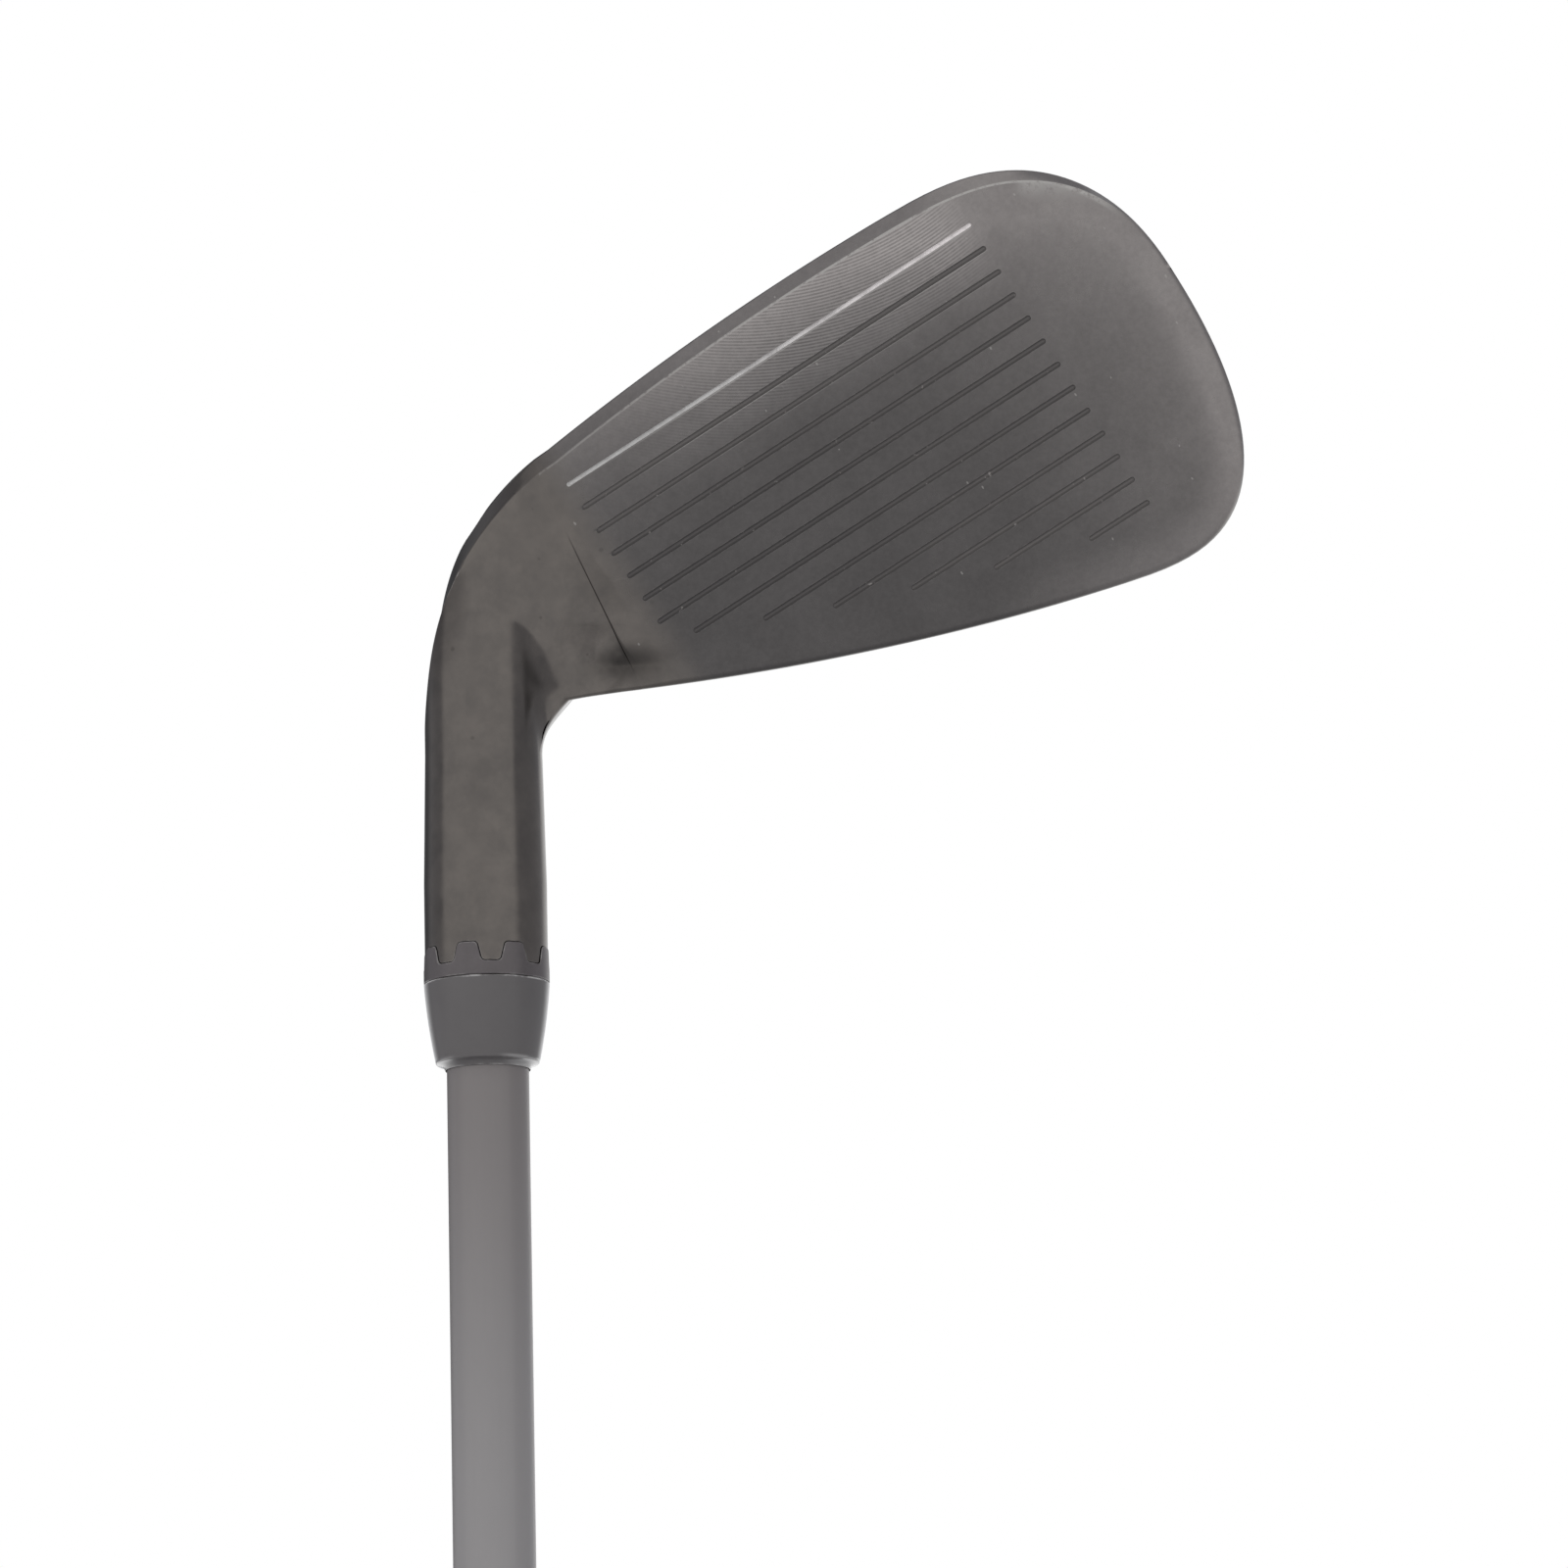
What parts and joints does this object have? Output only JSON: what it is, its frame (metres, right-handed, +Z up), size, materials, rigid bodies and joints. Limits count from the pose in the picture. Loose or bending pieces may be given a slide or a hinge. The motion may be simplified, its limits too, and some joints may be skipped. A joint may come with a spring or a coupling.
{
  "type": "iron golf club",
  "caption": "Right-handed iron golf club: hollow dark steel head with a scored face, keyed and bolted to a tapered grey shaft through a hosel adapter, with a ferrule and a black rubber grip.",
  "frame": {"origin": "middle of the grip's butt end, on the shaft's axis", "axes": "+Z up the shaft to the head, +X to the toe's side, -Y the way the striking face looks"},
  "size_m": [0.1035, 0.0345, 1.0415],
  "materials": {
    "head_body": "satin",
    "face_cup": "satin",
    "toe_weight": "satin",
    "core_filler": "matte",
    "port_screw": "satin",
    "hosel_bolt": "satin",
    "bolt_washer": "satin",
    "bolt_retainer": "matte",
    "adapter_sleeve": "satin",
    "ferrule": "satin",
    "shaft": "satin",
    "tip_plug": "matte",
    "grip_tape": "matte",
    "grip_sleeve": "matte",
    "grip_cap": "matte"
  },
  "bodies": {
    "club": {"shaft": "shaft", "tip_plug": "tip_plug", "adapter_sleeve": "adapter_sleeve", "ferrule": "ferrule", "grip_tape": "grip_tape", "grip_sleeve": "grip_sleeve", "grip_cap": "grip_cap"},
    "head": {"head_body": "head_body", "face_cup": "face_cup", "toe_weight": "toe_weight", "core_filler": "core_filler", "port_screw": "port_screw", "bolt_washer": "bolt_washer", "bolt_retainer": "bolt_retainer"},
    "bolt": {"hosel_bolt": "hosel_bolt"}
  },
  "joints": [
    {"name": "head_release", "type": "slide", "parent": "club", "child": "head", "axis": [0, 0, 1], "range_m": [0, 0.0063]},
    {"name": "bolt_turn", "type": "hinge", "parent": "head", "child": "bolt", "pos_m": [0, 0, 0.9915], "axis": [0, 0, 1], "range_deg": [0, 3240]}
  ],
  "couplings": [
    {"joint": "bolt_turn", "follows": "head_release", "rad_per_m": 8976}
  ]
}
